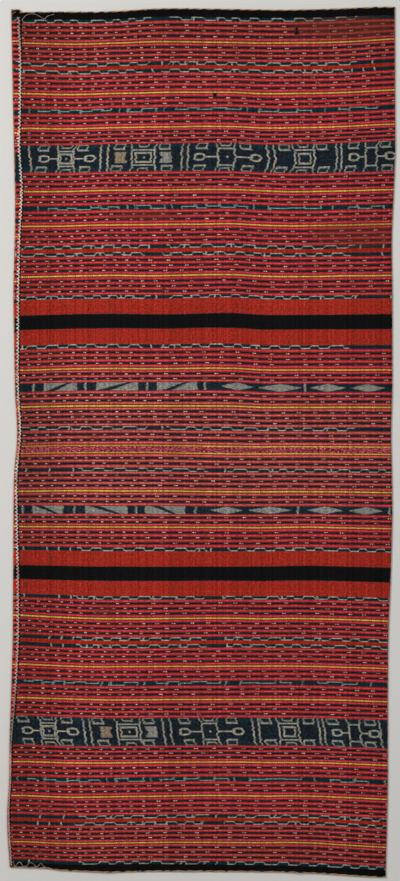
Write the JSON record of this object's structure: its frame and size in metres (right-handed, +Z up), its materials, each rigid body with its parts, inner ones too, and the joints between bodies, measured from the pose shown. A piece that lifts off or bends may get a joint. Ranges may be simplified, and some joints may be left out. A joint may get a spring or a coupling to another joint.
{
  "type": "ikat tube skirt",
  "caption": "Warp-ikat cotton tube skirt lying flat, of two joined loom widths with a whip-stitched lap seam along one side.",
  "frame": {"origin": "middle of the flat cloth's outline, on the surface that it lies on", "axes": "+X along the warp to the right fold, +Y along the tube to its upper open end, +Z up out of the front"},
  "size_m": [0.629, 1.4098, 0.0057],
  "materials": {
    "ikat_cloth": "matte warp-faced cotton, crimson with navy ikat bands, black bands and yellow pinstripes",
    "sewing_thread": "matte two-ply cotton thread"
  },
  "bodies": {
    "root": {"upper_panel": "ikat_cloth", "lower_panel": "ikat_cloth"}
  },
  "joints": []
}
